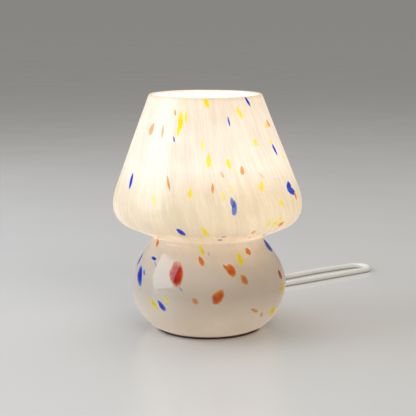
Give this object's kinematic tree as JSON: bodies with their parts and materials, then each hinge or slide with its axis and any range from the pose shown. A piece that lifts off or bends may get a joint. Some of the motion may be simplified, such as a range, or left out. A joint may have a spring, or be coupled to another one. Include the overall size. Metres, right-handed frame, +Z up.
{
  "type": "mushroom table lamp",
  "caption": "Small mushroom table lamp blown in one piece of cream opal glass with coloured flecks: open cup, pinched neck and round base, on a flex with a switch and a flat plug.",
  "frame": {"origin": "centre of the foot on the table", "axes": "+Z up along the lamp's axis, +Y to the back where the cord comes out, +X to the right seen from the front"},
  "size_m": [0.2816, 0.3475, 0.225],
  "materials": {
    "opal_glass": "fire-polished gloss, opal, flecked",
    "foot_eva": "matt",
    "zinc_steel": "zinc plated",
    "black_rubber": "matt",
    "brass": "bright",
    "nickel_steel": "nickel plated",
    "holder_white": "satin",
    "steatite": "matt",
    "white_plastic": "satin",
    "rocker_white": "gloss",
    "soft_pvc": "satin",
    "cord_pvc": "satin",
    "core_brown": "satin",
    "core_blue": "satin",
    "tie_fabric": "woven",
    "pin_sleeve": "satin",
    "solder": "dull",
    "dark_insulator": "gloss",
    "frosted_diffuser": "frosted, lit",
    "board_aluminium": "white coated",
    "led_phosphor": "matt",
    "circuit_green": "satin"
  },
  "bodies": {
    "lamp": {"foot_pad": "foot_eva", "glass_body": "opal_glass", "lower_plate": "zinc_steel", "rubber_washer_lower": "black_rubber", "rubber_washer_upper": "black_rubber", "upper_plate": "zinc_steel", "threaded_tube": "zinc_steel", "lock_nut_lower": "zinc_steel", "lock_nut_upper": "zinc_steel", "spring_washer": "zinc_steel", "stem": "nickel_steel", "upper_nipple": "zinc_steel", "holder_cap": "holder_white", "holder_barrel": "holder_white", "holder_insert": "steatite", "screw_shell": "brass", "centre_contact": "brass", "terminals": "brass", "terminal_screws": "zinc_steel", "core_live": "core_brown", "core_neutral": "core_blue", "cord_grommet": "soft_pvc", "cord_inside": "cord_pvc", "cord_clamp_block": "white_plastic", "cord_clamp_bar": "white_plastic", "clamp_screws": "zinc_steel", "switch_base": "white_plastic", "switch_cover": "white_plastic", "switch_contacts": "brass", "switch_screws": "zinc_steel", "cord_lamp_to_switch": "cord_pvc", "cord_switch_to_coil": "cord_pvc", "cord_coil": "cord_pvc", "coil_tie": "tie_fabric", "cord_coil_to_plug": "cord_pvc", "plug_strain_relief": "soft_pvc", "plug_body": "white_plastic", "plug_pins": "nickel_steel", "plug_pin_sleeves": "pin_sleeve"},
    "bulb": {"bulb_tip": "solder", "bulb_insulator": "dark_insulator", "bulb_cap": "nickel_steel", "bulb_housing": "white_plastic", "bulb_diffuser": "frosted_diffuser", "led_board": "board_aluminium", "led_chips": "led_phosphor", "bulb_driver": "circuit_green"},
    "rocker": {"switch_rocker": "rocker_white"}
  },
  "joints": [
    {"name": "bulb_lift", "type": "slide", "parent": "lamp", "child": "bulb", "axis": [0, 0, 1], "range_m": [0, 0.175]},
    {"name": "switch_rocker_tip", "type": "hinge", "parent": "lamp", "child": "rocker", "pos_m": [0.03634, 0.15696, 0.013], "axis": [-0.5446, 0.8387, 0], "range_deg": [0, 18]}
  ]
}
